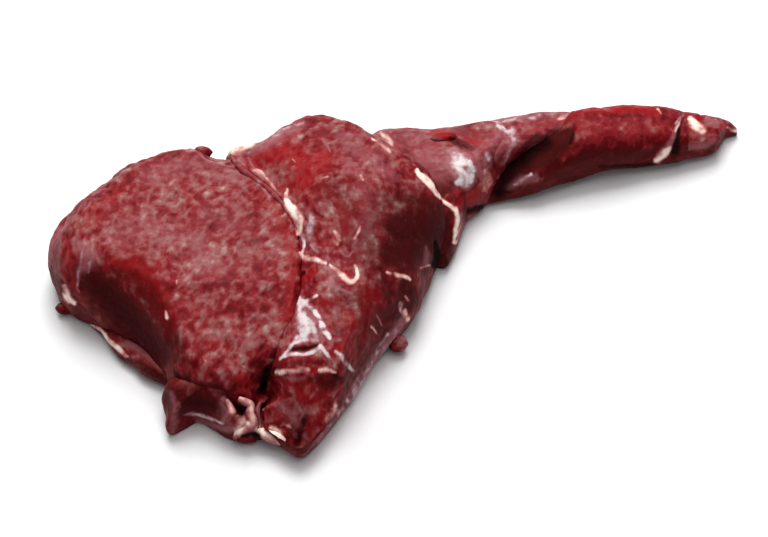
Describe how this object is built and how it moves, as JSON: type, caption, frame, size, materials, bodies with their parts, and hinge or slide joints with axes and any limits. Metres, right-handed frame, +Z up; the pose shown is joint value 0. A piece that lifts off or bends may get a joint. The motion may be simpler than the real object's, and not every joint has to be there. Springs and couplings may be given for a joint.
{
  "type": "rump steak",
  "caption": "Raw rump steak with its long tail: two plump round muscles side by side, narrowing into a curved tail, lying on a flat cut underside.",
  "frame": {"origin": "middle of the steak's box in plan, on the surface that it lies on", "axes": "+X along the length towards the tip of the tail, +Y towards the long back edge, +Z up through the thickness"},
  "size_m": [0.355, 0.2186, 0.0517],
  "materials": {
    "meat": "moist raw muscle, soft and slightly glossy",
    "fat": "soft cream fat, waxy",
    "silverskin": "thin pearly membrane, wet gloss"
  },
  "bodies": {
    "root": {"rump_steak": "meat"}
  },
  "joints": []
}
